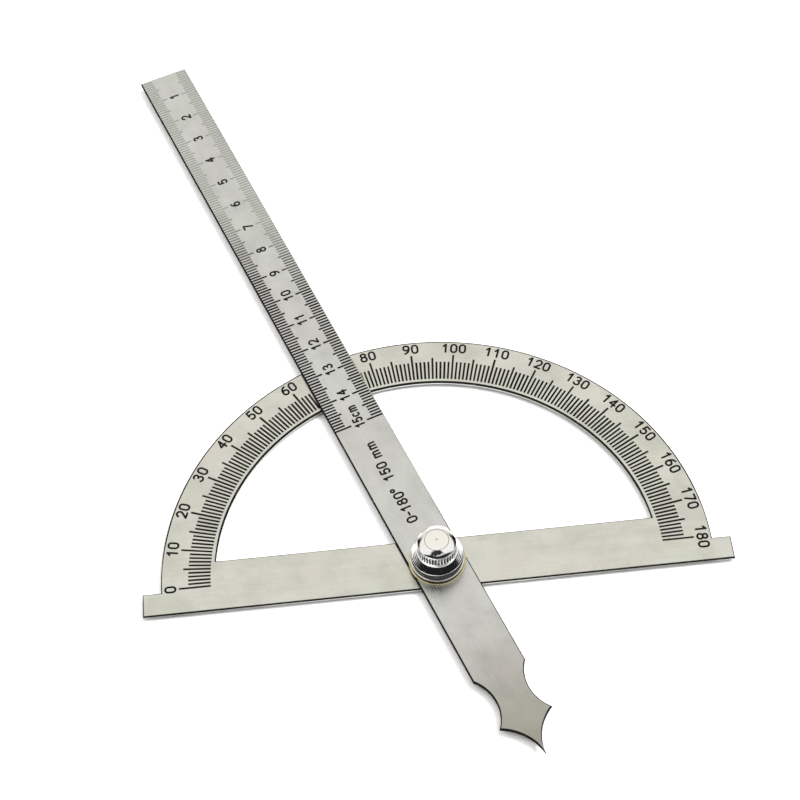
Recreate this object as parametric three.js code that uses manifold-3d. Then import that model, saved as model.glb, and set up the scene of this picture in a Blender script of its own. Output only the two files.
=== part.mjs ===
// Adjustable protractor: a half-circle angle plate with a straight base bar, and a ruler arm that
// turns about a screw at the plate's centre. A knurled knob clamps the arm through a flat washer,
// and a wave washer under the knob keeps a little friction on the arm when the knob is loosened.
//
// Millimetres. +Z is up, out of the scale side. The origin is on the pivot axis, at the underside
// of the screw's head. The base bar lies along X, and the half circle is on its +Y side.
// The 0 degree mark is at -X and the 180 degree mark at +X.

import * as THREE from 'three';
import { mergeVertices } from 'three/addons/utils/BufferGeometryUtils.js';
import Module from 'manifold-3d';

// Angle plate
const SHEET = 1.0;                // stainless sheet, plate and arm alike
const SCALE_OUTER_R = 74;         // outer edge of the half circle
const SCALE_INNER_R = 59.5;       // edge of the opening inside it
const BAR_WIDTH = 15;             // base bar, centred on the pivot
const BAR_HALF_LENGTH = 79;       // the bar's square ears reach past the half circle
const EAR_TOP_Y = -0.7;           // long top edge of the ears

// Ruler arm, along its own length from the pivot
const ARM_HALF_WIDTH = 7.5;
const ARM_LENGTH = 200;           // pivot to the square far end, which is the ruler's zero
const POINTER_SHOULDER = 36.5;    // pivot to where the arrow-like pointer begins
const POINTER_BARB = 51.4;        // pivot to the pair of barbs
const POINTER_TIP = 62.5;         // pivot to the pointer's tip
const WAIST_SAGITTA = 2.75;       // how far the side between shoulder and barb curves in
const TIP_SAGITTA = 1.75;         // how far the side between barb and tip curves in
const REST_READING = 70.3;        // angle that the arm shows on the scale, in degrees

// Pivot screw, M4
const SHANK_R = 2.0;
const HEAD_R = 5.5;
const HEAD_T = 1.0;
const HEAD_CHAMFER = 0.3;
const NECK_SIDE = 4.2;            // square neck that stops the screw turning in the plate
const SCREW_TOP = 11.5;
const SCREW_CHAMFER = 0.4;
const BORE_CLEARANCE = 0.1;       // round every shank and neck

// Washers
const FLAT_WASHER_R = 7.7;
const FLAT_WASHER_T = 0.5;
const WAVE_WASHER_R = 4.5;
const WAVE_WASHER_T = 0.5;
const WAVE_HEIGHT = 0.1;          // what is left of the waves when the knob is tight
const WAVES = 3;

// Knob
const RIM_R = 7.2;                // smooth rim at the foot
const RIM_CHAMFER = 0.3;
const RIM_TOP = 0.8;              // this and the next heights are above the knob's foot
const GRIP_R = 7.1;               // lower grip, over the crests of its fine crossed knurl
const GRIP_TOP = 2.85;            // from here the shoulder is a cone up to the collar
const COLLAR_R = 5.3;             // upper collar, over its straight knurl
const COLLAR_FOOT = 4.75;
const COLLAR_TOP = 8.3;
const DOME_R = 5.1;               // foot of the domed top
const CAP_R = 3.2;                // edge on the dome, outside which it falls more steeply
const CAP_SLOPES = [2.2, 14];     // degrees, the dome's slope at the dimple and up to that edge
const BROW_SLOPES = [24, 45];     // degrees, its slope just outside that edge and at its foot
const KNOB_HEIGHT = 10.15;
const DIMPLE_R = 0.5;
const DIMPLE_DEPTH = 0.15;
const KNURL_DEPTH = 0.3;
const KNURL_ALLOWANCE = 0.1;      // left on the turned blank for the knurl to cut away
const KNURL_TEETH = 40;
const RECESS_R = 4.8;             // seat of the wave washer in the knob's foot
const BORE_DEPTH = 8.5;           // blind threaded bore, from the knob's foot

// Stack of the pieces along the pivot axis
const LAY_GAP = 0.05;             // between two faces that lie on each other
const PLATE_Z = HEAD_T + LAY_GAP;
const ARM_Z = PLATE_Z + SHEET + LAY_GAP;
const FLAT_WASHER_Z = ARM_Z + SHEET + LAY_GAP;
const WAVE_WASHER_Z = FLAT_WASHER_Z + FLAT_WASHER_T + LAY_GAP;
const RECESS_Z = WAVE_WASHER_Z + WAVE_WASHER_T + WAVE_HEIGHT + LAY_GAP;
const RECESS_DEPTH = 0.3;
const KNOB_Z = RECESS_Z - RECESS_DEPTH;

const ROUND_STEPS = 64;           // sides of a small round piece
const HALF_CIRCLE_STEPS = 120;    // sides of the plate's half circle

const wasm = await Module();
wasm.setup();

// A three.js geometry as a solid that can be joined and cut.
function toSolid(geometry) {
  const bare = geometry.index ? geometry.toNonIndexed() : geometry.clone();
  bare.deleteAttribute('normal');
  bare.deleteAttribute('uv');
  const merged = mergeVertices(bare, 1e-5);
  return new wasm.Manifold(new wasm.Mesh({
    numProp: 3,
    vertProperties: new Float32Array(merged.attributes.position.array),
    triVerts: new Uint32Array(merged.index.array),
  }));
}

function toGeometry(solid) {
  const mesh = solid.getMesh();
  const geometry = new THREE.BufferGeometry();
  geometry.setAttribute('position', new THREE.BufferAttribute(mesh.vertProperties, 3));
  geometry.setIndex(new THREE.BufferAttribute(mesh.triVerts, 1));
  geometry.computeVertexNormals();
  return geometry;
}

// A flat outline raised from height bottom to height top.
function raise(shape, bottom, top) {
  const geometry = new THREE.ExtrudeGeometry(shape, { depth: top - bottom, bevelEnabled: false });
  return geometry.translate(0, 0, bottom);
}

// A profile of [radius, height] points turned round the pivot axis.
function turn(profile, steps = ROUND_STEPS) {
  const points = profile.map(([radius, height]) => new THREE.Vector2(radius, height));
  return new THREE.LatheGeometry(points, steps).rotateX(Math.PI / 2);
}

function circlePoints(radius, steps, from = 0, sweep = 2 * Math.PI) {
  return Array.from({ length: steps + 1 }, (_, i) => {
    const angle = from + (sweep * i) / steps;
    return new THREE.Vector2(radius * Math.cos(angle), radius * Math.sin(angle));
  });
}

// Points of the arc between two ends, curving by the sagitta to the left of the way from-to.
function bowPoints(from, to, sagitta, steps = 12) {
  const chord = to.clone().sub(from);
  const half = chord.length() / 2;
  const radius = (half * half + sagitta * sagitta) / (2 * sagitta);
  const left = new THREE.Vector2(-chord.y, chord.x).normalize();
  const middle = from.clone().add(to).multiplyScalar(0.5);
  const centre = middle.addScaledVector(left, sagitta - radius);
  const start = Math.atan2(from.y - centre.y, from.x - centre.x);
  const sweep = -2 * Math.asin(half / radius);
  return circlePoints(radius, steps, start, sweep).map((point) => point.add(centre));
}

function anglePlate() {
  const earStart = Math.asin(EAR_TOP_Y / SCALE_OUTER_R);
  const outline = [
    new THREE.Vector2(-BAR_HALF_LENGTH, EAR_TOP_Y),
    new THREE.Vector2(-BAR_HALF_LENGTH, -BAR_WIDTH / 2),
    new THREE.Vector2(BAR_HALF_LENGTH, -BAR_WIDTH / 2),
    new THREE.Vector2(BAR_HALF_LENGTH, EAR_TOP_Y),
    ...circlePoints(SCALE_OUTER_R, HALF_CIRCLE_STEPS, earStart, Math.PI - 2 * earStart),
  ];
  const shape = new THREE.Shape(outline);
  const openingStart = Math.asin(BAR_WIDTH / 2 / SCALE_INNER_R);
  const openingSweep = Math.PI - 2 * openingStart;
  shape.holes.push(
    new THREE.Path(circlePoints(SCALE_INNER_R, HALF_CIRCLE_STEPS, openingStart, openingSweep)),
    squarePath(NECK_SIDE / 2 + BORE_CLEARANCE),
  );
  return raise(shape, PLATE_Z, PLATE_Z + SHEET);
}

function squarePath(half) {
  return new THREE.Path([
    new THREE.Vector2(half, half), new THREE.Vector2(half, -half),
    new THREE.Vector2(-half, -half), new THREE.Vector2(-half, half),
  ]);
}

// The arm's outline has its length along X. The pointer is the end on the -X side.
function rulerArm() {
  const shoulder = new THREE.Vector2(-POINTER_SHOULDER, ARM_HALF_WIDTH);
  const barb = new THREE.Vector2(-POINTER_BARB, ARM_HALF_WIDTH);
  const tip = new THREE.Vector2(-POINTER_TIP, 0);
  const upper = [
    new THREE.Vector2(ARM_LENGTH, ARM_HALF_WIDTH),
    ...bowPoints(shoulder, barb, WAIST_SAGITTA),
    ...bowPoints(barb, tip, TIP_SAGITTA).slice(1),
  ];
  const lower = upper.slice(0, -1).reverse().map((point) => new THREE.Vector2(point.x, -point.y));
  const shape = new THREE.Shape([...upper, ...lower]);
  shape.holes.push(new THREE.Path(circlePoints(SHANK_R + BORE_CLEARANCE, ROUND_STEPS)));
  return raise(shape, ARM_Z, ARM_Z + SHEET);
}

function pivotScrew() {
  const turned = toSolid(turn([
    [0, 0],
    [HEAD_R - HEAD_CHAMFER, 0],
    [HEAD_R, HEAD_CHAMFER],
    [HEAD_R, HEAD_T],
    [SHANK_R, HEAD_T],
    [SHANK_R, SCREW_TOP - SCREW_CHAMFER],
    [SHANK_R - SCREW_CHAMFER, SCREW_TOP],
    [0, SCREW_TOP],
  ]));
  const neck = new THREE.BoxGeometry(NECK_SIDE, NECK_SIDE, SHEET + HEAD_T / 2);
  neck.translate(0, 0, PLATE_Z + SHEET - (SHEET + HEAD_T / 2) / 2);
  return toGeometry(turned.add(toSolid(neck)));
}

// A flat ring between two radii, with its profile closed on itself.
function ring(inner, outer, bottom, top) {
  return turn([[inner, bottom], [outer, bottom], [outer, top], [inner, top], [inner, bottom]]);
}

function flatWasher() {
  const bore = SHANK_R + BORE_CLEARANCE;
  return ring(bore, FLAT_WASHER_R, FLAT_WASHER_Z, FLAT_WASHER_Z + FLAT_WASHER_T);
}

// A ring bent into equal waves round the screw.
function waveWasher() {
  const bore = SHANK_R + BORE_CLEARANCE;
  const geometry = ring(bore, WAVE_WASHER_R, WAVE_WASHER_Z, WAVE_WASHER_Z + WAVE_WASHER_T);
  const position = geometry.attributes.position;
  for (let i = 0; i < position.count; i += 1) {
    const angle = Math.atan2(position.getY(i), position.getX(i));
    const lift = (WAVE_HEIGHT / 2) * (1 + Math.cos(WAVES * angle));
    position.setZ(i, position.getZ(i) + lift);
  }
  return geometry;
}

// The knob's turned form before knurling, with a blind bore and the wave washer's recess.
function knobBlank() {
  const bore = SHANK_R + BORE_CLEARANCE;
  const profile = [
    [0, BORE_DEPTH],
    [bore, BORE_DEPTH],
    [bore, RECESS_DEPTH],
    [RECESS_R, RECESS_DEPTH],
    [RECESS_R, 0],
    [RIM_R - RIM_CHAMFER, 0],
    [RIM_R, RIM_CHAMFER],
    [RIM_R, RIM_TOP],
    [GRIP_R, RIM_TOP],
    [GRIP_R, GRIP_TOP],
    [COLLAR_R + KNURL_ALLOWANCE, COLLAR_FOOT],
    [COLLAR_R + KNURL_ALLOWANCE, COLLAR_TOP - KNURL_ALLOWANCE],
    [COLLAR_R, COLLAR_TOP],
    ...domeProfile(),
    [0, KNOB_HEIGHT - DIMPLE_DEPTH],
  ];
  return turn(profile.map(([radius, height]) => [radius, KNOB_Z + height]));
}

// Points of an arc that falls away outwards, from a radius and height, as its slope grows.
function fallingArc(innerR, outerR, slopes, height, steps = 5) {
  const [first, last] = slopes.map(THREE.MathUtils.degToRad);
  const curve = (outerR - innerR) / (Math.sin(last) - Math.sin(first));
  return Array.from({ length: steps + 1 }, (_, i) => {
    const slope = first + ((last - first) * i) / steps;
    const radius = innerR + curve * (Math.sin(slope) - Math.sin(first));
    return [radius, height - curve * (Math.cos(first) - Math.cos(slope))];
  });
}

// The domed top from its foot in to the dimple: a steep brow and then a flatter cap.
function domeProfile() {
  const cap = fallingArc(DIMPLE_R, CAP_R, CAP_SLOPES, KNOB_HEIGHT);
  const [, capFoot] = cap.at(-1);
  const brow = fallingArc(CAP_R, DOME_R, BROW_SLOPES, capFoot);
  return [...cap, ...brow.slice(1)].reverse();
}

// Outline of the collar's straight knurl: pointed teeth all round.
function knurlShape() {
  const points = Array.from({ length: 2 * KNURL_TEETH }, (_, i) => {
    const radius = i % 2 ? COLLAR_R - KNURL_DEPTH : COLLAR_R;
    const angle = (Math.PI * i) / KNURL_TEETH;
    return new THREE.Vector2(radius * Math.cos(angle), radius * Math.sin(angle));
  });
  return new THREE.Shape(points);
}

// The blank is cut to the knurl's outline along the collar and left whole above and below it.
function clampKnob() {
  const collarFoot = KNOB_Z + COLLAR_FOOT;
  const collarTop = KNOB_Z + COLLAR_TOP - KNURL_ALLOWANCE;
  const wide = new THREE.Shape(circlePoints(RIM_R + 1, ROUND_STEPS).slice(1));
  const envelope = toSolid(raise(wide, KNOB_Z - 1, collarFoot))
    .add(toSolid(raise(knurlShape(), collarFoot, collarTop)))
    .add(toSolid(raise(wide, collarTop, KNOB_Z + KNOB_HEIGHT + 1)));
  return toGeometry(toSolid(knobBlank()).intersect(envelope));
}

function piece(name, geometry, color, roughness, metalness) {
  const material = new THREE.MeshStandardMaterial({ color, roughness, metalness });
  const mesh = new THREE.Mesh(geometry, material);
  mesh.name = name;
  return mesh;
}

const protractor = new THREE.Group();
protractor.add(
  piece('base_plate', anglePlate(), 0xcbc9c1, 0.42, 1.0),
  piece('pivot_screw', pivotScrew(), 0xb9b4a8, 0.25, 1.0),
  piece('clamp_knob', clampKnob(), 0xd9d6cc, 0.12, 1.0),
  piece('wave_washer', waveWasher(), 0x8f9093, 0.35, 1.0),
);

// The arm and the flat washer under the knob are set at the reading that the arm rests at.
const arm = new THREE.Group();
arm.add(
  piece('ruler_arm', rulerArm(), 0xbdbab1, 0.42, 1.0),
  piece('flat_washer', flatWasher(), 0xb9a66a, 0.25, 1.0),
);
arm.rotation.z = Math.PI - THREE.MathUtils.degToRad(REST_READING);
protractor.add(arm);

export default protractor;
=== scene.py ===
"""Adjustable steel protractor with a ruler arm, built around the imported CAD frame.

Everything is in metres, in the frame's own axes: the pivot axis is Z, the base bar runs along X,
and the half circle is on the +Y side. Sizes in this file are written in millimetres times MM.
"""

import math
import random

import bmesh
import bpy
from mathutils import Matrix, Quaternion, Vector


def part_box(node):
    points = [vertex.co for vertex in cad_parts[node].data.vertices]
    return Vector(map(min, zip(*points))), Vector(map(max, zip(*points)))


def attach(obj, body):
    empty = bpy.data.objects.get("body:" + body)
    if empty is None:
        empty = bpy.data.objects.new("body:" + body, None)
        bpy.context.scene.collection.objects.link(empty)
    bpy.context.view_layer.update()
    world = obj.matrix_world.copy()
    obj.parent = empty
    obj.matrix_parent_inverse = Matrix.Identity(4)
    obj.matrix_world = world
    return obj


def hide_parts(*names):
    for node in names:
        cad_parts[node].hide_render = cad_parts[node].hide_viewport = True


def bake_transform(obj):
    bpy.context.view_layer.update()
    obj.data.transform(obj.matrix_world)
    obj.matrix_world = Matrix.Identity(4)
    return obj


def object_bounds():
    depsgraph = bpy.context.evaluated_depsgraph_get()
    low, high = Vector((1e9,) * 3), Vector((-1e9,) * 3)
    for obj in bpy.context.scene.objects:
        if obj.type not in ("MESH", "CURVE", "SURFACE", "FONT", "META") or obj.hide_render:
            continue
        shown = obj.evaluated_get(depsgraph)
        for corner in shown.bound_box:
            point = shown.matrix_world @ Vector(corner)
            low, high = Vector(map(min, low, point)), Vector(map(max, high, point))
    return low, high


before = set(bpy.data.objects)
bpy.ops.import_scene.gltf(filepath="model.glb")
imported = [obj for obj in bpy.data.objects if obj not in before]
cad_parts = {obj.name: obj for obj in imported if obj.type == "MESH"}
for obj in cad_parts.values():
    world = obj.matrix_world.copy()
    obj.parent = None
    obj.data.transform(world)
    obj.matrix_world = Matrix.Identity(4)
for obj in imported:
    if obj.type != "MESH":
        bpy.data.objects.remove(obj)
cad_low, cad_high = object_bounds()

MM = 0.001
FULL_TURN = 2 * math.pi
HALF_TURN = math.pi
QUARTER_TURN = math.pi / 2
random.seed(7)

# The stack of pieces, read from the frame
PLATE_LOW, PLATE_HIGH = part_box("base_plate")
ARM_BOTTOM, ARM_TOP = (corner.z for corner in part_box("ruler_arm"))
WASHER_LOW, WASHER_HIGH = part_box("flat_washer")
WAVE_LOW, WAVE_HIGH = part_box("wave_washer")
KNOB_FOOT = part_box("clamp_knob")[0].z
SCREW_HEAD_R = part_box("pivot_screw")[1].x

# Angle plate
SCALE_OUTER_R = PLATE_HIGH.y
SCALE_INNER_R = 59.5 * MM
BAR_HALF_WIDTH = -PLATE_LOW.y
EAR_TOP_Y = -0.7 * MM
NECK_HOLE_HALF = 2.2 * MM
BORE_R = 2.1 * MM                 # of the arm, both washers and the knob

# Edges of both sheets
EDGE_ROUNDING = 0.3 * MM          # the punch rolls the upper edges over and a band of the side below them takes the edges' painted dark; the lower edges are only deburred
DARK_EDGE_BAND = 0.2 * MM                # and burnishes a band of the side below them;
LOWER_ROUNDING = 0.1 * MM         # the lower edges are only deburred
EDGE_MATERIAL = 1                 # the rolled edges take a sheet's second material, painted dark

# Ruler arm, along its own length from the pivot
ARM_HALF_WIDTH = 7.5 * MM
ARM_LENGTH = 200 * MM
POINTER_SHOULDER = 36.5 * MM
POINTER_BARB = 51.4 * MM
POINTER_TIP = 62.5 * MM
WAIST_SAGITTA = 2.75 * MM
TIP_SAGITTA = 1.75 * MM
REST_READING = math.radians(70.3)
ARM_HEADING = HALF_TURN - REST_READING
ARM_TURN = Matrix.Rotation(ARM_HEADING, 4, "Z")

# Printed marks. Each reach and length is for a plain mark, every fifth and every tenth.
INK_ABOVE = 0.015 * MM            # how far the ink stands out of the metal
INK_BELOW = 0.01 * MM             # how deep it is set in
STROKE_STEP = 0.002 * MM          # where a figure's lines cross, each is this much above the last
DEGREE_MARK_WIDTH = 0.58 * MM
DEGREE_MARK_FOOT = 60.7 * MM
DEGREE_MARK_REACH = (66.7 * MM, 68.1 * MM, 69.2 * MM)
RULER_MARK_WIDTH = 0.55 * MM
RULER_MARK_LENGTH = (3.2 * MM, 4.0 * MM, 4.8 * MM)
UNEVEN_WIDTH = (0.93, 1.07)
WEAR_START, WEAR_END = 112 * MM, 140 * MM

# Figures, for figures 1 high
STROKE = 0.175                    # line width
FIGURE_TOP = (1 - STROKE) / 2     # from a figure's middle to the middle of its top line
FIGURE_SIDE = 0.25                # and to the middle of its side lines
ADVANCE = 0.78                    # from one figure to the next
NARROW = {"°": 0.56, "-": 0.56, " ": 0.42, "m": 1.06}

# Knob, in millimetres from its axis and above its foot
RIM_R = 7.2
GRIP_R = 7.1
GRIP_KNURL = (0.95, 2.82)         # from and to this height
GRIP_TEETH = 60
GRIP_KNURL_DEPTH = 0.26
COLLAR_R = 5.3
COLLAR_KNURL = (5.45, 8.0)
COLLAR_TEETH = 40
COLLAR_KNURL_DEPTH = 0.3
DOME_R = 5.1

# Where old oil and painted shade darken the knob's colour: the radius where that starts, how much
# further in it is darkest, its lowest and highest place, and how dark it gets
KNOB_SHADES = {
    "foot": (7.4, 0.1, -0.2, 0.26, 0.97),
    "grip": (7.14, 0.08, 0.84, 2.9, 0.97),
    "collar": (5.28, 0.14, 5.4, 8.05, 0.97),
    "seam": (3.27, 0.05, 9.68, 9.735, 0.7),
    "dimple": (0.42, 0.2, 9.9, 10.3, 0.45),
}

WAVER = 12 * MM                   # how far the border of handled or worn metal wavers

# Colours of the metals and the ink
PLATE_LIGHT = (0.71, 0.73, 0.70)
PLATE_DARK = (0.60, 0.615, 0.585)
ARM_LIGHT = (0.66, 0.68, 0.695)
ARM_DARK = (0.55, 0.565, 0.575)
PINK_CAST = (1.02, 0.96, 0.96)    # these two are shares of a sheet's light colour
GREEN_CAST = (0.96, 1.0, 0.93)
GRAIN_SHADE = (0.36, 0.35, 0.32, 1)
HANDLED_STEEL = (0.255, 0.252, 0.195, 1)
INK_BLACK = (0.003, 0.003, 0.003, 1)
INK_GREY = (0.012, 0.011, 0.011, 1)
INK_WORN = (0.2, 0.205, 0.185, 1)
# Rolled edges: near-black and dark grey as painted shade and dark reflection, a rubbed grey for wear,
# and a lighter tone painted along the ruler's measuring edge
EDGE_BLACK = (0.010, 0.010, 0.010, 1)
EDGE_GREY = (0.028, 0.027, 0.026, 1)
EDGE_RUBBED = (0.30, 0.29, 0.27, 1)
EDGE_PAINTED_LIGHT = (0.5, 0.5, 0.48, 1)
CHROME_DULL = (0.84, 0.84, 0.83, 1)
CHROME_CLEAR = (0.92, 0.92, 0.91, 1)
# old oil in the knurls, and painted shade in the knob's grooves and hollows
OIL_AND_PAINTED_SHADE = (0.02, 0.019, 0.018, 1)
NICKEL = (0.60, 0.58, 0.53, 1)
NICKEL_TARNISHED = (0.46, 0.44, 0.40, 1)
BRASS = (0.64, 0.58, 0.38, 1)
BRASS_TARNISHED = (0.48, 0.43, 0.27, 1)
SPRING_STEEL = (0.30, 0.30, 0.31, 1)
SPRING_TARNISHED = (0.20, 0.20, 0.20, 1)


# ---------------------------------------------------------------- mesh making

def add_piece(name, bm, materials, body, stands_for=()):
    """Turns a bmesh into a named piece that rides on a CAD body. A piece with None for its body
    here rides on no body."""
    bm.normal_update()
    bmesh.ops.recalc_face_normals(bm, faces=bm.faces)
    mesh = bpy.data.meshes.new(name)
    bm.to_mesh(mesh)
    bm.free()
    for material in materials:
        mesh.materials.append(material)
    piece = bpy.data.objects.new(name, mesh)
    bpy.context.scene.collection.objects.link(piece)
    if body:
        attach(piece, body)
    if stands_for:
        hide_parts(*stands_for)
    return piece


def arc(radius, start, end, step=math.radians(0.75), centre=(0, 0)):
    """Points of a circular arc, both ends included."""
    count = max(2, round(abs(end - start) / step))
    angles = [start + (end - start) * i / count for i in range(count + 1)]
    return [Vector(centre) + radius * Vector((math.cos(a), math.sin(a))) for a in angles]


def bow(start, end, sagitta):
    """Points of the arc from start to end that curves by the sagitta to the left of its way."""
    chord = end - start
    half = chord.length / 2
    radius = (half * half + sagitta * sagitta) / (2 * sagitta)
    left = Vector((-chord.y, chord.x)).normalized()
    centre = (start + end) / 2 + left * (sagitta - radius)
    first = math.atan2(start.y - centre.y, start.x - centre.x)
    sweep = -2 * math.asin(half / radius)
    return arc(radius, first, first + sweep, math.radians(3), centre)


def inset(loop, distance):
    """A closed loop of points moved to the left of its way, which is into the metal. distance is
    one length, or a function that gives it for each point."""
    moved = []
    for before, here, after in zip(loop[-1:] + loop[:-1], loop, loop[1:] + loop[:1]):
        coming = (here - before).normalized()
        going = (after - here).normalized()
        left_coming = Vector((-coming.y, coming.x))
        left_going = Vector((-going.y, going.x))
        mitre = (left_coming + left_going) / (1 + left_coming.dot(left_going))
        moved.append(here + mitre * (distance(here) if callable(distance) else distance))
    return moved


def bridge(bm, upper, lower, material_index=0):
    """Smooth faces between two closed rings of vertices."""
    for i, vertex in enumerate(upper):
        j = (i + 1) % len(upper)
        face = bm.faces.new((vertex, lower[i], lower[j], upper[j]))
        face.smooth = True
        face.material_index = material_index


def sheet_section(low, high):
    """A sheet's edge from the top down: at each level how far in it is, as a share of the upper
    rounding, and its height. The second value is the level where the plain side starts."""
    steps = 4
    quarter = [QUARTER_TURN * k / steps for k in range(steps + 1)]
    section = [(1 - math.sin(a), high - EDGE_ROUNDING * (1 - math.cos(a))) for a in quarter]
    section.append((0, high - EDGE_ROUNDING - DARK_EDGE_BAND))
    plain_side = len(section) - 1
    lower_share = LOWER_ROUNDING / EDGE_ROUNDING
    for a in quarter[::-1]:
        section.append((lower_share * (1 - math.sin(a)), low + LOWER_ROUNDING * (1 - math.cos(a))))
    return section, plain_side


def sheet_mesh(loops, low, high, side_material, room):
    """A sheet of metal with rounded edges. The outer loop runs anticlockwise, each hole clockwise.
    room(point) says how far in from the outline the rounding starts there."""
    bm = bmesh.new()
    section, plain_side = sheet_section(low, high)
    top_edges, bottom_edges = [], []
    for loop in loops:
        rings = []
        for share, height in section:
            points = inset(loop, lambda point: room(point) * share)
            rings.append([bm.verts.new((p.x, p.y, height)) for p in points])
        for k, (upper, lower) in enumerate(zip(rings, rings[1:])):
            # the rounding and the band below it take the edges' painted shade and dark reflection
            bridge(bm, upper, lower, side_material if k >= plain_side else EDGE_MATERIAL)
        for ring, edges in ((rings[0], top_edges), (rings[-1], bottom_edges)):
            edges += [bm.edges.get((v, ring[i - 1])) for i, v in enumerate(ring)]
    for edges in (top_edges, bottom_edges):
        bmesh.ops.triangle_fill(bm, use_beauty=True, edges=edges)
    return bm


def turned_mesh(profile, columns, relief=None):
    """A body turned round the pivot axis from a profile of (radius, height) points that starts
    and ends on the axis. relief(angle, radius, height) says how deep the surface is cut there."""
    bm = bmesh.new()
    first = bm.verts.new((0, 0, profile[0][1]))
    last = bm.verts.new((0, 0, profile[-1][1]))
    rings = []
    for radius, height in profile[1:-1]:
        ring = []
        for i in range(columns):
            angle = FULL_TURN * i / columns
            cut = relief(angle, radius, height) if relief else 0
            reach = radius - cut
            ring.append(bm.verts.new((reach * math.cos(angle), reach * math.sin(angle), height)))
        rings.append(ring)
    for upper, lower in zip(rings, rings[1:]):
        bridge(bm, upper, lower)
    for centre, ring in ((first, rings[0]), (last, rings[-1])):
        for i, vertex in enumerate(ring):
            bm.faces.new((centre, vertex, ring[i - 1])).smooth = True
    return bm


def ring_mesh(profile, columns, lift=None):
    """A ring turned from a profile that closes on itself. lift(angle) raises it along the axis."""
    bm = bmesh.new()
    rings = []
    for radius, height in profile:
        ring = []
        for i in range(columns):
            angle = FULL_TURN * i / columns
            rise = lift(angle) if lift else 0
            point = (radius * math.cos(angle), radius * math.sin(angle), height + rise)
            ring.append(bm.verts.new(point))
        rings.append(ring)
    for upper, lower in zip(rings, rings[1:] + rings[:1]):
        bridge(bm, upper, lower)
    return bm


def rounded_section(inner, outer, low, high, rounding):
    """The section of a flat ring with four rounded corners."""
    corners = (
        (outer - rounding, low + rounding, -90),
        (outer - rounding, high - rounding, 0),
        (inner + rounding, high - rounding, 90),
        (inner + rounding, low + rounding, 180),
    )
    section = []
    for radius, height, start in corners:
        angles = (math.radians(start + 22.5 * k) for k in range(5))
        section += [
            (radius + rounding * math.cos(a), height + rounding * math.sin(a)) for a in angles
        ]
    return section


def crease(piece, degrees):
    """Keeps the edges that are sharper than an angle crisp in the shading."""
    piece.data.set_sharp_from_angle(angle=math.radians(degrees))


# ------------------------------------------------------------------ materials

class NodeTree:
    """A node tree, with short calls for the nodes that this file uses."""

    def __init__(self, tree):
        self.nodes = tree.nodes
        self.links = tree.links

    def put(self, value, socket):
        """Links a node's output to a socket, or sets the socket to a plain value."""
        if isinstance(value, bpy.types.NodeSocket):
            self.links.new(value, socket)
        else:
            socket.default_value = value

    def split(self, vector):
        """The X, Y and Z of a vector."""
        node = self.nodes.new("ShaderNodeSeparateXYZ")
        self.put(vector, node.inputs[0])
        return node.outputs

    def vector_math(self, operation, *vectors):
        node = self.nodes.new("ShaderNodeVectorMath")
        node.operation = operation
        for vector, socket in zip(vectors, node.inputs):
            self.put(vector, socket)
        return node.outputs["Value" if operation == "LENGTH" else "Vector"]

    def noise(self, vector, scale=1.0, detail=3.0, roughness=0.5):
        node = self.nodes.new("ShaderNodeTexNoise")
        self.put(vector, node.inputs["Vector"])
        self.put(scale, node.inputs["Scale"])
        self.put(detail, node.inputs["Detail"])
        self.put(roughness, node.inputs["Roughness"])
        return node.outputs[0]

    def remap(self, value, from_low, from_high, to_low, to_high, smooth=False):
        node = self.nodes.new("ShaderNodeMapRange")
        if smooth:
            node.interpolation_type = "SMOOTHSTEP"
        numbers = (value, from_low, from_high, to_low, to_high)
        for number, socket in zip(numbers, node.inputs):
            self.put(number, socket)
        return node.outputs[0]

    def math(self, operation, a, b=0.0):
        node = self.nodes.new("ShaderNodeMath")
        node.operation = operation
        self.put(a, node.inputs[0])
        self.put(b, node.inputs[1])
        return node.outputs[0]

    def mix(self, share, a, b):
        """A colour between a and b."""
        node = self.nodes.new("ShaderNodeMix")
        node.data_type = "RGBA"
        self.put(share, node.inputs[0])
        self.put(a, node.inputs[6])
        self.put(b, node.inputs[7])
        return node.outputs[2]


class Shader(NodeTree):
    """A material's node tree. The sockets named at the start are set on its surface shader."""

    def __init__(self, name, **sockets):
        self.material = bpy.data.materials.new(name)
        self.material.use_nodes = True
        super().__init__(self.material.node_tree)
        self.surface = self.nodes["Principled BSDF"]
        for socket, value in sockets.items():
            self.surface.inputs[socket.replace("_", " ")].default_value = value
        self.place = self.nodes.new("ShaderNodeTexCoord").outputs["Object"]

    def stretched(self, scale, turn=0.0):
        """Object coordinates, turned about Z and then scaled."""
        spin = self.nodes.new("ShaderNodeVectorRotate")
        spin.rotation_type = "Z_AXIS"
        self.put(self.place, spin.inputs["Vector"])
        self.put(turn, spin.inputs["Angle"])
        return self.vector_math("MULTIPLY", spin.outputs[0], scale)

    def along_and_across(self, turn):
        """How far a point is along the sheet's length and across it, the length turned onto X."""
        return self.split(self.stretched((1, 1, 1), turn))[:2]

    def bump(self, height, strength, distance):
        node = self.nodes.new("ShaderNodeBump")
        self.put(height, node.inputs["Height"])
        self.put(strength, node.inputs["Strength"])
        self.put(distance, node.inputs["Distance"])
        self.put(node.outputs[0], self.surface.inputs["Normal"])

    def colour(self, value):
        self.put(value, self.surface.inputs["Base Color"])

    def rough(self, value):
        self.put(value, self.surface.inputs["Roughness"])


def cast(colour, shares):
    """A colour with each of its channels multiplied by a share."""
    return (*(channel * share for channel, share in zip(colour, shares)), 1)


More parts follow.
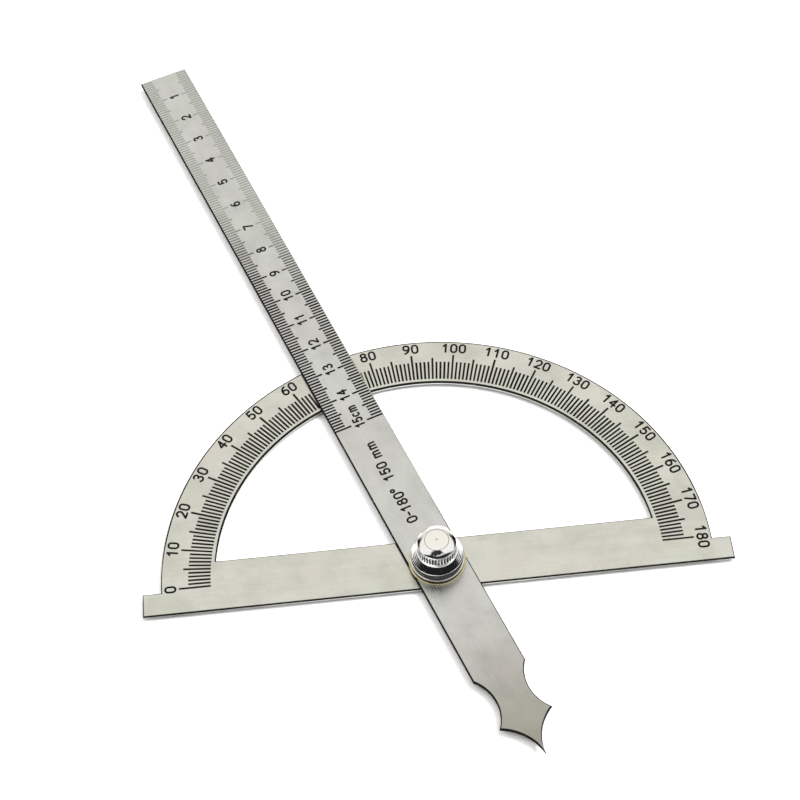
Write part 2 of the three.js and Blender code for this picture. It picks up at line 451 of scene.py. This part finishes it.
def satin_steel(name, light, dark, grain_turn, handled=None):
    """Rolled stainless sheet: long fine grain, cloudy patches that lean to pink or green, and a few
    handling marks. handled is the distance along the grain where the metal starts to be darkened
    by fingers, and where it is darkest."""
    shader = Shader(name, Metallic=1.0)
    grain = shader.noise(shader.stretched((60, 4200, 4200), grain_turn), detail=4.0, roughness=0.6)
    cloud = shader.noise(shader.stretched((110, 110, 110)), detail=4.0, roughness=0.6)
    smear = shader.noise(shader.stretched((35, 260, 260), grain_turn), detail=2.0)
    mostly_cloud = shader.math("MULTIPLY", cloud, 0.7)
    tone = shader.math("ADD", mostly_cloud, shader.math("MULTIPLY", smear, 0.3))
    base = shader.mix(shader.remap(tone, 0.40, 0.60, 0.0, 1.0), (*dark, 1), (*light, 1))
    tint = shader.noise(shader.stretched((75, 75, 75)), detail=2.0)
    base = shader.mix(shader.remap(tint, 0.52, 0.7, 0.0, 0.6), base, cast(light, PINK_CAST))
    base = shader.mix(shader.remap(tint, 0.48, 0.3, 0.0, 0.6), base, cast(light, GREEN_CAST))
    if handled:
        along, _ = shader.along_and_across(grain_turn)
        wavy = shader.math("ADD", along, shader.math("MULTIPLY", cloud, WAVER))
        base = shader.mix(shader.remap(wavy, *handled, 0.0, 1.0), base, HANDLED_STEEL)
    streak = shader.remap(grain, 0.3, 0.7, 0.0, 0.14)
    shader.colour(shader.mix(streak, base, GRAIN_SHADE))
    fine = shader.remap(grain, 0.3, 0.7, 0.20, 0.30)
    shader.rough(shader.math("ADD", fine, shader.remap(cloud, 0.3, 0.7, 0.0, 0.1)))
    shader.bump(grain, 0.25, 0.01 * MM)
    return shader.material


def scale_ink(name, worn_turn=None):
    """Black etched and filled marks, a little uneven. worn_turn turns the ruler onto the X axis:
    towards its far end, and more so along one edge, handling has worn the black to grey."""
    shader = Shader(name, Specular_IOR_Level=0.04)
    patch = shader.noise(shader.stretched((900, 900, 900)), detail=2.0)
    colour = shader.mix(patch, INK_BLACK, INK_GREY)
    if worn_turn is not None:
        along, across = shader.along_and_across(worn_turn)
        lag = shader.remap(across, -4 * MM, 4 * MM, -5 * MM, 5 * MM)
        cloud = shader.noise(shader.stretched((160, 160, 160)), detail=2.0)
        reach = shader.math("SUBTRACT", along, lag)
        reach = shader.math("ADD", reach, shader.math("MULTIPLY", cloud, WAVER))
        colour = shader.mix(shader.remap(reach, WEAR_START, WEAR_END, 0.0, 1.0), colour, INK_WORN)
    shader.colour(colour)
    shader.rough(shader.remap(patch, 0.3, 0.7, 0.55, 0.8))
    return shader.material


def rolled_edge(name, lighter_edge_turn=None):
    """The sheet's rolled edges, painted nearly black as shade and dark reflection. The second argument
    turns the ruler onto the X axis: its measuring edge, on the -Y side, is painted lighter from a
    little past the knob."""
    shader = Shader(name, Metallic=1.0, Specular_Tint=(0.1, 0.1, 0.1, 1))
    patch = shader.noise(shader.stretched((240, 240, 240)), detail=2.0)
    # Painted shade and dark reflection: the edges are nearly black
    colour = shader.mix(patch, EDGE_BLACK, EDGE_GREY)
    if lighter_edge_turn is not None:
        along, across = shader.along_and_across(lighter_edge_turn)
        at_edge = shader.remap(across, -6.6 * MM, -7.0 * MM, 0.0, 1.0)
        past_knob = shader.remap(along, 8 * MM, 24 * MM, 0.0, 1.0)
        # the measuring edge is painted lighter from a little past the knob
        colour = shader.mix(shader.math("MULTIPLY", at_edge, past_knob), colour, EDGE_PAINTED_LIGHT)
    worn = shader.noise(shader.stretched((900, 900, 900)), detail=3.0, roughness=0.6)
    shader.colour(shader.mix(shader.remap(worn, 0.62, 0.8, 0.0, 0.4), colour, EDGE_RUBBED))
    shader.rough(shader.remap(worn, 0.3, 0.7, 0.3, 0.5))
    shader.bump(worn, 0.3, 0.02 * MM)
    return shader.material


def knob_shade(shader, radius, height, shade):
    """How dark the painted shade and oil are at one of the knob's shaded places, at a radius and a
    height above the foot. Only the knob's outer skin is shaded, and its bore and recess aren't."""
    crest, depth, low, high, strength = shade
    fade = 0.03 * MM
    above = shader.remap(height, low * MM - fade, low * MM, 0.0, 1.0)
    below = shader.remap(height, high * MM + fade, high * MM, 0.0, 1.0)
    groove = shader.remap(radius, crest * MM, (crest - depth) * MM, 0.0, strength)
    skin = 0.6
    near = shader.remap(radius, (crest - skin) * MM, (crest - skin + 0.05) * MM, 0.0, 1.0)
    share = shader.math("MULTIPLY", shader.math("MULTIPLY", above, below), groove)
    return shader.math("MULTIPLY", share, near)


def knob_chrome(name):
    """Polished nickel-chrome plating, with old oil and painted shade darkening both knurls' grooves."""
    shader = Shader(name, Metallic=1.0)
    x, y, z = shader.split(shader.place)
    squares = shader.math("MULTIPLY", x, x), shader.math("MULTIPLY", y, y)
    radius = shader.math("SQRT", shader.math("ADD", *squares))
    height = shader.math("SUBTRACT", z, KNOB_FOOT)
    haze = shader.noise(shader.stretched((420, 420, 420)), detail=3.0)
    colour = shader.mix(haze, CHROME_DULL, CHROME_CLEAR)
    # Old oil and painted shade, darkest in the grooves, the seam, the dimple and at the foot
    for shade in KNOB_SHADES.values():
        colour = shader.mix(knob_shade(shader, radius, height, shade), colour, OIL_AND_PAINTED_SHADE)
    shader.colour(colour)
    shader.rough(shader.remap(haze, 0.3, 0.7, 0.05, 0.13))
    return shader.material


def turned_metal(name, clean, tarnished, low_rough, high_rough):
    """Metal with the fine rings that a lathe tool leaves, and a little tarnish."""
    shader = Shader(name, Metallic=1.0)
    rings = shader.nodes.new("ShaderNodeTexWave")
    rings.wave_type = "RINGS"
    rings.rings_direction = "Z"
    shader.put(shader.stretched((1, 1, 0)), rings.inputs["Vector"])
    shader.put(2600.0, rings.inputs["Scale"])
    shader.put(0.6, rings.inputs["Distortion"])
    tarnish = shader.noise(shader.stretched((500, 500, 500)), detail=4.0, roughness=0.6)
    shader.colour(shader.mix(shader.remap(tarnish, 0.35, 0.7, 0.0, 1.0), clean, tarnished))
    shader.rough(shader.remap(tarnish, 0.3, 0.7, low_rough, high_rough))
    shader.bump(rings.outputs[1], 0.2, 0.008 * MM)
    return shader.material


# ------------------------------------------------------------------ the sheets

def plate_loops():
    """The angle plate's outline, its half-round opening and the square hole for the screw's neck."""
    ear = math.asin(EAR_TOP_Y / SCALE_OUTER_R)
    outline = [
        Vector((-PLATE_HIGH.x, EAR_TOP_Y)),
        Vector((-PLATE_HIGH.x, -BAR_HALF_WIDTH)),
        Vector((PLATE_HIGH.x, -BAR_HALF_WIDTH)),
        Vector((PLATE_HIGH.x, EAR_TOP_Y)),
        *arc(SCALE_OUTER_R, ear, HALF_TURN - ear),
    ]
    start = math.asin(BAR_HALF_WIDTH / SCALE_INNER_R)
    opening = arc(SCALE_INNER_R, HALF_TURN - start, start)
    neck = [Vector(p) * NECK_HOLE_HALF for p in ((1, 1), (1, -1), (-1, -1), (-1, 1))]
    return [outline, opening, neck]


def arm_loops():
    """The arm's outline and bore, with its length along X and the pointer at -X."""
    shoulder = Vector((-POINTER_SHOULDER, ARM_HALF_WIDTH))
    barb = Vector((-POINTER_BARB, ARM_HALF_WIDTH))
    tip = Vector((-POINTER_TIP, 0))
    upper = [Vector((ARM_LENGTH, ARM_HALF_WIDTH))]
    upper += bow(shoulder, barb, WAIST_SAGITTA)
    upper += bow(barb, tip, TIP_SAGITTA)[1:]
    lower = [Vector((p.x, -p.y)) for p in upper[-2::-1]]
    bore = arc(BORE_R, 0, -FULL_TURN, math.radians(6))[:-1]
    return [upper + lower, bore]


def plate_room(point):
    """The half circle's edges are rolled over further than the bar's."""
    ramp = 10 * MM
    extra = 0.6
    climb = (point.y - BAR_HALF_WIDTH) / ramp
    return EDGE_ROUNDING * (1 + extra * min(1.0, max(0.0, climb)))


def arm_room(point):
    """The rounding dwindles with the width of the pointer's thin tip."""
    if point.x > -POINTER_BARB:
        return EDGE_ROUNDING
    return min(EDGE_ROUNDING, 0.4 * abs(point.y))


# ------------------------------------------------------- printed marks and figures

def add_print(bm, loops, surface, lift=0.0):
    """Fills the loops with a flat mark, set a little into a surface and standing a little above."""
    for height in (surface - INK_BELOW, surface + INK_ABOVE + lift):
        edges = []
        for loop in loops:
            ring = [bm.verts.new((p.x, p.y, height)) for p in loop]
            edges += [bm.edges.new((v, ring[i - 1])) for i, v in enumerate(ring)]
        bmesh.ops.triangle_fill(bm, use_beauty=True, edges=edges)
        if height < surface:
            lower = edges
    for below, above in zip(lower, edges):
        bm.faces.new((below.verts[0], below.verts[1], above.verts[1], above.verts[0]))


def add_bar(bm, start, end, width, surface):
    """A straight mark between two points."""
    along = (end - start).normalized() * (width / 2)
    side = Vector((-along.y, along.x))
    add_print(bm, [[start - side, end - side, end + side, start + side]], surface)


def mark_rank(number):
    """2 for every tenth mark of a scale, 1 for the other fifths and 0 for the rest."""
    if number % 10 == 0:
        return 2
    return 1 if number % 5 == 0 else 0


def degree_marks():
    """A mark at every degree, longer at every fifth and longest at every tenth."""
    bm = bmesh.new()
    for degree in range(181):
        angle = math.radians(degree)
        out = Vector((-math.cos(angle), math.sin(angle)))
        width = DEGREE_MARK_WIDTH * random.uniform(*UNEVEN_WIDTH)
        reach = DEGREE_MARK_REACH[mark_rank(degree)]
        add_bar(bm, out * DEGREE_MARK_FOOT, out * reach, width, PLATE_HIGH.z)
    return bm


def millimetre_marks():
    """The ruler's marks along both edges, from zero at the far end to 15 cm."""
    edge = ARM_HALF_WIDTH - EDGE_ROUNDING
    bm = bmesh.new()
    for millimetre in range(1, 151):
        inner = edge - RULER_MARK_LENGTH[mark_rank(millimetre)]
        x = ARM_LENGTH - millimetre * MM
        for side in (-1, 1):
            width = RULER_MARK_WIDTH * random.uniform(*UNEVEN_WIDTH)
            add_bar(bm, Vector((x, side * edge)), Vector((x, side * inner)), width, ARM_TOP)
    bm.transform(ARM_TURN)
    return bm


def oval(x, y, wide, high, start, end):
    """Points along part of an ellipse about (x, y), between two angles in degrees."""
    step = 12
    count = max(3, round(abs(end - start) / step))
    angles = [math.radians(start + (end - start) * i / count) for i in range(count + 1)]
    return [Vector((x + wide * math.cos(a), y + high * math.sin(a))) for a in angles]


def line(*points):
    """An open stroke through some points."""
    return [Vector(p) for p in points], False


def curve(x, y, wide, high, start, end):
    """An open stroke along part of an ellipse."""
    return oval(x, y, wide, high, start, end), False


def ellipse(x, y, wide, high):
    """A closed stroke round an ellipse."""
    return oval(x, y, wide, high, 0, 360)[:-1], True


def half_turned(parts):
    """Strokes turned upside down about the figure's middle."""
    return [([-p for p in points], closed) for points, closed in parts]


def zero():
    """Two half circles with straight sides between them, as one closed stroke."""
    top, side = FIGURE_TOP, FIGURE_SIDE
    upper = oval(0, top - side, side, side, 0, 180)
    lower = oval(0, side - top, side, side, 180, 360)
    return [(upper + lower, True)]


def two():
    """A hook that runs down to the left, and a foot."""
    top, side = FIGURE_TOP, FIGURE_SIDE
    hook = oval(0, top - side, side, side, 165, -45) + [Vector((-side, -top))]
    return [(hook, False), line((-side, -top), (side, -top))]


def letter_m():
    """A stem and two arches."""
    width, top = 0.17, 0.56 - FIGURE_TOP
    parts = [line((-2 * width, top), (-2 * width, -FIGURE_TOP))]
    for x in (-width, width):
        arch = oval(x, top - width, width, width, 180, 0)
        parts.append((arch + [Vector((x + width, -FIGURE_TOP))], False))
    return parts


def strokes(character):
    """The strokes that draw a figure 1 high about its own middle: the points of each, and whether
    it is a closed loop."""
    top, side = FIGURE_TOP, FIGURE_SIDE
    six = [ellipse(0, 0.24 - top, side, 0.24), curve(0.2, -0.12, 0.45, top + 0.12, 183, 98)]
    figures = {
        "0": zero(),
        "1": [line((-0.17, 0.2), (0.05, top)), line((0.05, top), (0.05, -top))],
        "2": two(),
        "3": [
            curve(-0.02, top - 0.195, 0.21, 0.195, 150, -90),
            curve(-0.02, 0.22 - top, 0.25, 0.22, 90, -150),
        ],
        "4": [
            line((0.11, top), (-0.27, -0.15)),
            line((-0.27, -0.15), (0.27, -0.15)),
            line((0.11, top), (0.11, -top)),
        ],
        "5": [
            line((0.2, top), (-0.17, top)),
            line((-0.17, top), (-0.22, -0.02)),
            curve(-0.01, 0.26 - top, 0.25, 0.25, 147, -145),
        ],
        "6": six,
        "7": [line((-side, top), (side, top)), line((side, top), (-0.07, -top))],
        "8": [ellipse(0, top - 0.19, 0.21, 0.19), ellipse(0, 0.225 - top, side, 0.225)],
        "9": half_turned(six),
        "c": [curve(0.02, 0.28 - top, 0.24, 0.28, 52, 308)],
        "m": letter_m(),
        "°": [ellipse(0, top - 0.12, 0.15, 0.15)],
        "-": [line((-0.15, -0.02), (0.15, -0.02))],
        " ": [],
    }
    return figures[character]


def stroke_loops(points, width, closed):
    """The outline of a line with round ends, or both outlines of a closed loop."""
    half = width / 2
    if closed:
        return [inset(points, -half), inset(points, half)[::-1]]
    last = len(points) - 1
    ways = [(points[min(i + 1, last)] - points[max(i - 1, 0)]).normalized() for i in range(last + 1)]
    left = [p + half * Vector((-way.y, way.x)) for p, way in zip(points, ways)]
    right = [p - half * Vector((-way.y, way.x)) for p, way in zip(points, ways)]
    end_heading = math.atan2(ways[-1].y, ways[-1].x)
    start_heading = math.atan2(ways[0].y, ways[0].x)
    step = math.radians(22.5)
    end_cap = arc(half, end_heading - QUARTER_TURN, end_heading + QUARTER_TURN, step, points[-1])
    back = start_heading + QUARTER_TURN
    start_cap = arc(half, back, start_heading + 3 * QUARTER_TURN, step, points[0])
    return [right + end_cap[1:-1] + left[::-1] + start_cap[1:-1]]


def add_lettering(bm, text, height, place, surface, squeeze=1.0, from_left=False):
    """Prints a line of figures. place puts its middle, or its left end, where it goes."""
    widths = [NARROW.get(character, ADVANCE) for character in text]
    x = 0 if from_left else -sum(widths) / 2
    for character, width in zip(text, widths):
        x += width / 2
        for k, (points, closed) in enumerate(strokes(character)):
            path = [Vector(((p.x + x) * squeeze, p.y)) * height for p in points]
            outlines = stroke_loops(path, STROKE * height, closed)
            placed = [[(place @ p.to_3d()).to_2d() for p in outline] for outline in outlines]
            add_print(bm, placed, surface, lift=k * STROKE_STEP)
        x += width / 2


def degree_figures():
    """0 to 180 in tens, each upright on its own mark."""
    radius = 71.5 * MM
    height = 3.3 * MM
    bm = bmesh.new()
    for degree in range(0, 181, 10):
        angle = math.radians(degree)
        centre = radius * Vector((-math.cos(angle), math.sin(angle), 0))
        place = Matrix.Translation(centre) @ Matrix.Rotation(QUARTER_TURN - angle, 4, "Z")
        add_lettering(bm, str(degree), height, place, PLATE_HIGH.z, squeeze=0.96)
    return bm


def centimetre_figures():
    """1 to 14 and the unit at 15, along the middle of the arm."""
    height = 3.15 * MM
    bm = bmesh.new()
    for number in range(1, 15):
        shift = 0.65 * MM if number > 9 else 0
        x = ARM_LENGTH - number * 10 * MM + shift
        place = ARM_TURN @ Matrix.Translation((x, 0, 0))
        add_lettering(bm, str(number), height, place, ARM_TOP, squeeze=0.85)
    place = ARM_TURN @ Matrix.Translation((ARM_LENGTH - 151.6 * MM, 0, 0))
    add_lettering(bm, "15cm", height, place, ARM_TOP, squeeze=0.755, from_left=True)
    return bm


def arm_legend():
    """What the tool measures, printed beside the pivot."""
    bm = bmesh.new()
    place = ARM_TURN @ Matrix.Translation((28.3 * MM, 0.4 * MM, 0))
    add_lettering(bm, "0-180°  150 mm", 3.2 * MM, place, ARM_TOP, squeeze=0.92)
    return bm


# -------------------------------------------------------------- the clamp's profiles

def straight(start, end, steps):
    """Evenly spaced points from start to end, both included."""
    (start_r, start_z), (end_r, end_z) = start, end
    shares = [k / steps for k in range(steps + 1)]
    return [(start_r + (end_r - start_r) * s, start_z + (end_z - start_z) * s) for s in shares]


def corner(radius, height, rounding, start, end, steps=5):
    """Points of a rounded corner about a radius and height, between two angles in degrees."""
    angles = (math.radians(start + (end - start) * k / steps) for k in range(steps + 1))
    return [(radius + rounding * math.cos(a), height + rounding * math.sin(a)) for a in angles]


def falling_arc(inner, outer, slopes, height, steps):
    """Points of an arc that falls away outwards from a radius and height, as its slope grows."""
    first, last = (math.radians(slope) for slope in slopes)
    curvature_r = (outer - inner) / (math.sin(last) - math.sin(first))
    points = []
    for k in range(steps + 1):
        slope = first + (last - first) * k / steps
        radius = inner + curvature_r * (math.sin(slope) - math.sin(first))
        points.append((radius, height - curvature_r * (math.cos(first) - math.cos(slope))))
    return points


def knob_base():
    """The knob's blind bore, its recess, its smooth rim and its grip, from the axis outwards."""
    bore, depth = BORE_R / MM, 8.5
    recess_r, recess_depth = 4.8, 0.3
    bevel = GRIP_R - 0.2
    inside = [(0, depth), (bore, depth), (bore, 0.5), (2.3, recess_depth)]
    inside += [(recess_r, recess_depth), (recess_r, 0.1), (4.9, 0)]
    rim = corner(RIM_R - 0.3, 0.3, 0.3, -90, 0) + corner(RIM_R - 0.15, 0.6, 0.15, 0, 90)
    neck = [(6.85, 0.78), (6.8, 0.85)]
    grip = straight((bevel, 0.9), (GRIP_R, 1.15), 3)
    grip += straight((GRIP_R, 1.15), (GRIP_R, 2.6), 20)[1:-1]
    grip += straight((GRIP_R, 2.6), (bevel, 2.85), 3)
    return inside + rim + neck + grip


def knob_shoulder():
    """The cone between the grip and the collar, with the fine rings of the lathe tool."""
    rings, steps, depth = 4, 32, 0.01
    points = [(6.95, 2.95)]
    for k, (radius, height) in enumerate(straight((6.93, 3.05), (5.48, 4.65), steps)):
        ripple = depth * math.sin(FULL_TURN * rings * k / steps)
        points.append((radius + 0.74 * ripple, height + 0.67 * ripple))
    return points


def knob_collar():
    """The collar's undercut foot, its knurled side and its bevelled top."""
    undercut = [(5.42, 4.69), (5.2, 4.72), (5.12, 4.8), (5.12, 4.9), (5.2, 4.98)]
    side = [(COLLAR_R, height) for height in (5.05, 5.4, 5.45, 5.55)]
    side += straight((COLLAR_R, 5.65), (COLLAR_R, 7.75), 10)
    side += [(COLLAR_R, 7.85), (COLLAR_R, 7.95)]
    bevel = [(5.27, 8.05), (5.2, 8.15), (5.13, 8.2), (DOME_R, 8.27)]
    return undercut + side + bevel


def knob_dome():
    """The domed top, from its foot in to the dimple, with a seam turned round its cap."""
    seam_z = 9.69
    brow = falling_arc(3.26, DOME_R, (24, 41), 9.74, 12)
    seam = [(3.22, seam_z), (3.16, seam_z)]
    cap = falling_arc(0.5, 3.12, (2.2, 14), 10.14, 12)
    dimple = [(0.42, 10.12), (0.2, 10.02), (0, 10.0)]
    return brow[::-1] + seam + cap[::-1] + dimple


def knob_profile():
    """Half of the knob's section, from the blind bore round the foot and up to the dimpled top."""
    points = knob_base() + knob_shoulder() + knob_collar() + knob_dome()
    return [(radius * MM, KNOB_FOOT + height * MM) for radius, height in points]


def tooth(turns):
    """A wave of straight flanks, 1 at each whole number of turns and 0 halfway between them."""
    return abs(2 * (turns % 1.0) - 1)


def groove(wave, flat):
    """How deep a groove is along its wave, from 0 to 1, when a share of the wave is left flat."""
    return max(0.0, wave - flat) / (1 - flat)


def knurl_fade(height, limits):
    """1 along a knurl, falling to 0 at its two ends."""
    low, high = limits
    fade = 0.2
    return min(1.0, (height - low) / fade, (high - height) / fade)


def knurl(angle, radius, height):
    """How deep the knob's knurls cut: a crossed one round the grip, a straight one round the collar."""
    above = (height - KNOB_FOOT) / MM
    turns = angle / FULL_TURN
    skin = 0.3
    if GRIP_KNURL[0] < above < GRIP_KNURL[1] and radius > (GRIP_R - skin) * MM:
        middle, teeth_per_mm = 1.9, 0.95
        lean = (above - middle) * teeth_per_mm
        wave = max(tooth(turns * GRIP_TEETH + lean), tooth(turns * GRIP_TEETH - lean))
        return GRIP_KNURL_DEPTH * MM * groove(wave, 0.2) * knurl_fade(above, GRIP_KNURL)
    if COLLAR_KNURL[0] < above < COLLAR_KNURL[1] and radius > (COLLAR_R - skin) * MM:
        wave = tooth(turns * COLLAR_TEETH)
        return COLLAR_KNURL_DEPTH * MM * groove(wave, 0.15) * knurl_fade(above, COLLAR_KNURL)
    return 0.0


def screw_profile():
    """Half of the pivot screw's section: low head, shank and a chamfered end."""
    shank_r = 2.0
    head_top = 1.0
    end = 11.5
    head = [(0, 0.04), (1.2, 0.04), (1.5, 0), (5.1, 0), (5.28, 0.05), (5.42, 0.16), (5.49, 0.32)]
    head += [(5.5, 0.5), (5.5, 0.85), (5.45, 0.96), (5.35, head_top)]
    shank = [(shank_r, head_top), (shank_r, end - 0.4), (shank_r - 0.4, end), (0, end)]
    return [(min(radius * MM, SCREW_HEAD_R), height * MM) for radius, height in head + shank]


# ------------------------------------------------------------------ the pieces

def add_plate():
    """The angle plate with its scale."""
    steel = satin_steel("plate_steel", PLATE_LIGHT, PLATE_DARK, 0.0)
    ink = scale_ink("plate_ink")
    materials = [steel, rolled_edge("plate_edge")]
    bm = sheet_mesh(plate_loops(), PLATE_LOW.z, PLATE_HIGH.z, 0, plate_room)
    add_piece("plate_sheet", bm, materials, "base", ["base_plate"])
    add_piece("degree_marks", degree_marks(), [ink], "base")
    add_piece("degree_figures", degree_figures(), [ink], "base")


def add_arm():
    """The ruler arm with its scale and legend, its long grain running along it."""
    grain_turn = -ARM_HEADING
    handled = (-10 * MM, -67 * MM)
    steel = satin_steel("arm_steel", ARM_LIGHT, ARM_DARK, grain_turn, handled)
    ink = scale_ink("arm_ink")
    worn_ink = scale_ink("worn_ink", grain_turn)
    materials = [steel, rolled_edge("arm_edge", grain_turn)]
    # The arm's whole side takes the edge material, painted dark for the shade along it
    bm = sheet_mesh(arm_loops(), ARM_BOTTOM, ARM_TOP, EDGE_MATERIAL, arm_room)
    bm.transform(ARM_TURN)
    add_piece("arm_sheet", bm, materials, "arm", ["ruler_arm"])
    add_piece("millimetre_marks", millimetre_marks(), [worn_ink], "arm")
    add_piece("centimetre_figures", centimetre_figures(), [ink], "arm")
    add_piece("arm_legend", arm_legend(), [ink], "arm")


def add_screw_and_washer():
    """The pivot screw, and the flat washer that the knob presses on the arm."""
    nickel = turned_metal("screw_nickel", NICKEL, NICKEL_TARNISHED, 0.14, 0.28)
    bm = turned_mesh(screw_profile(), 128)
    screw = add_piece("screw", bm, [nickel], "base", ["pivot_screw"])
    crease(screw, 40)
    brass = turned_metal("washer_brass", BRASS, BRASS_TARNISHED, 0.16, 0.32)
    section = rounded_section(BORE_R, WASHER_HIGH.x, WASHER_LOW.z, WASHER_HIGH.z, 0.12 * MM)
    add_piece("washer", ring_mesh(section, 160), [brass], "arm", ["flat_washer"])


def add_spring_ring():
    """The wave washer, which stays on the flat washer under the knob."""
    spring = turned_metal("spring_steel", SPRING_STEEL, SPRING_TARNISHED, 0.3, 0.45)
    waves = 3
    thick = 0.5 * MM
    wave = WAVE_HIGH.z - WAVE_LOW.z - thick
    section = rounded_section(BORE_R, WAVE_HIGH.x, WAVE_LOW.z, WAVE_LOW.z + thick, 0.08 * MM)
    bm = ring_mesh(section, 144, lambda angle: wave / 2 * (1 + math.cos(waves * angle)))
    ring = add_piece("spring_ring", bm, [spring], None, ["wave_washer"])
    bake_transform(ring)


def add_knob():
    """The knurled clamping knob."""
    chrome = knob_chrome("knob_chrome")
    bm = turned_mesh(knob_profile(), 480, knurl)
    knob = add_piece("knob", bm, [chrome], "knob", ["clamp_knob"])
    crease(knob, 32)


# -------------------------------------------------------------------- the stage

def add_floor():
    """A wide pale floor at the height of the lowest piece."""
    half = 6.0
    bm = bmesh.new()
    corners = ((-half, -half), (half, -half), (half, half), (-half, half))
    bm.faces.new([bm.verts.new((x, y, cad_low.z)) for x, y in corners])
    mesh = bpy.data.meshes.new("floor")
    bm.to_mesh(mesh)
    bm.free()
    shader = Shader("floor_paint", Roughness=0.9, Specular_IOR_Level=0.1)
    shade = shader.noise(shader.stretched((3, 3, 3)), detail=1.0)
    shader.colour(shader.mix(shade, (0.90, 0.90, 0.90, 1), (0.92, 0.92, 0.92, 1)))
    mesh.materials.append(shader.material)
    floor = bpy.data.objects.new("floor", mesh)
    bpy.context.scene.collection.objects.link(floor)


def screen_share(tree, direction):
    """1 where an oval dark screen in front of the tent is seen, 0 round it, with an uneven edge."""
    narrowness = (2.4, 5.2, 0.0)
    shift = (0.19, 2.18, 0.0)
    from_middle = tree.vector_math("MULTIPLY_ADD", direction, narrowness, shift)
    distance = tree.vector_math("LENGTH", from_middle)
    raggedness = 1.2
    uneven = tree.math("MULTIPLY", tree.noise(direction, scale=9.0, detail=2.0), raggedness)
    outline = tree.math("ADD", distance, uneven)
    return tree.remap(outline, 1.45, 1.6, 1.0, 0.0, smooth=True)


def studio_level(tree, direction, y, z):
    """How bright the studio is in a direction, whose Y and Z are given too: a light tent above, with
    a dark room round its foot that is lit only behind the half circle, and a dark screen in
    front."""
    dim, lit = 0.014, 0.85
    room = tree.remap(y, 0.66, 0.84, dim, lit, smooth=True)
    front_rise = 0.42
    rise = tree.remap(y, -0.6, 0.0, front_rise, 0.0, smooth=True)
    in_tent = tree.remap(tree.math("SUBTRACT", z, rise), 0.30, 0.40, 0.0, 1.0, smooth=True)
    darkness = 0.97
    hidden = tree.math("MULTIPLY", screen_share(tree, direction), darkness)
    tent = tree.math("MULTIPLY", in_tent, tree.math("SUBTRACT", 1.0, hidden))
    room = tree.math("MULTIPLY", room, tree.math("SUBTRACT", 1.0, in_tent))
    return tree.math("ADD", tent, room)


def add_world():
    """The studio that lights the metal and is mirrored in it. The camera itself sees plain white."""
    world = bpy.data.worlds.new("studio")
    bpy.context.scene.world = world
    world.use_nodes = True
    tree = NodeTree(world.node_tree)
    direction = tree.nodes.new("ShaderNodeTexCoord").outputs["Generated"]
    _, y, z = tree.split(direction)
    level = studio_level(tree, direction, y, z)
    warmth = tree.remap(y, 0.0, 0.35, 0.0, 1.0, smooth=True)
    paper = tree.mix(warmth, (1.0, 1.0, 1.0, 1), (1.0, 0.965, 0.885, 1))
    studio = tree.nodes["Background"]
    tree.put(tree.mix(level, (0, 0, 0, 1), paper), studio.inputs["Color"])
    backdrop = tree.nodes.new("ShaderNodeBackground")
    tree.put((1, 1, 1, 1), backdrop.inputs["Color"])
    seen = tree.nodes.new("ShaderNodeLightPath").outputs["Is Camera Ray"]
    choice = tree.nodes.new("ShaderNodeMixShader")
    for value, socket in zip((seen, studio.outputs[0], backdrop.outputs[0]), choice.inputs):
        tree.put(value, socket)
    tree.put(choice.outputs[0], tree.nodes["World Output"].inputs["Surface"])


def add_light(name, place, aim, size, level):
    """A soft rectangular light, as bright as its level over its whole size. Neither the camera nor
    metal sees it."""
    light = bpy.data.lights.new(name, "AREA")
    light.shape = "RECTANGLE"
    light.size, light.size_y = size
    light.energy = level * math.pi * size[0] * size[1]
    holder = bpy.data.objects.new(name, light)
    holder.location = place
    holder.rotation_mode = "QUATERNION"
    holder.rotation_quaternion = (Vector(place) - Vector(aim)).to_track_quat("Z", "Y")
    holder.visible_camera = False
    holder.visible_glossy = False
    bpy.context.scene.collection.objects.link(holder)
    return holder


def add_walls(receivers):
    """Pale walls that only the satin pieces mirror, so that they look like steel from every side
    while the bright knob keeps the dark room in its reflections."""
    mirrored_in = bpy.data.collections.new("satin_pieces")
    for name in receivers:
        mirrored_in.objects.link(bpy.data.objects[name])
    away = 2.4
    level = 0.8
    walls = (
        ("front_wall", (0, -away), (0, 0), (7.0, 3.5)),
        ("left_wall", (-away, 0.2), (0, 0.2), (4.4, 1.4)),
        ("right_wall", (away, 0.2), (0, 0.2), (4.4, 1.4)),
    )
    for name, place, aim, size in walls:
        middle = size[1] / 2
        wall = add_light(name, (*place, middle), (*aim, middle), size, level)
        wall.visible_glossy = True
        wall.light_linking.receiver_collection = mirrored_in


def add_camera():
    """The camera looks down at the plate from the base bar's side."""
    aim = Vector((-4.70 * MM, 54.25 * MM, PLATE_HIGH.z))
    azimuth, elevation, roll = (math.radians(a) for a in (3.09, 54.70, -3.11))
    distance = 582.2 * MM
    level = math.cos(elevation)
    look = Vector((math.sin(azimuth) * level, math.cos(azimuth) * level, -math.sin(elevation)))
    data = bpy.data.cameras.new("camera")
    data.lens = 92.79
    camera = bpy.data.objects.new("camera", data)
    camera.location = aim - look * distance
    camera.rotation_mode = "QUATERNION"
    camera.rotation_quaternion = look.to_track_quat("-Z", "Y") @ Quaternion((0, 0, 1), roll)
    bpy.context.scene.collection.objects.link(camera)
    bpy.context.scene.camera = camera


add_camera()
add_plate()
add_arm()
add_screw_and_washer()
add_spring_ring()
add_knob()
add_floor()
add_world()
add_light("key", place=(0.6, 0.15, 1.0), aim=(0, 0, 0), size=(0.5, 0.5), level=15.0)
add_light("fill", place=(0.0, 0.0, 4.0), aim=(0, 0, 0), size=(7.0, 7.0), level=1.3)
add_walls(("plate_sheet", "arm_sheet", "washer", "spring_ring", "screw"))
bpy.context.scene.view_settings.view_transform = "Standard"
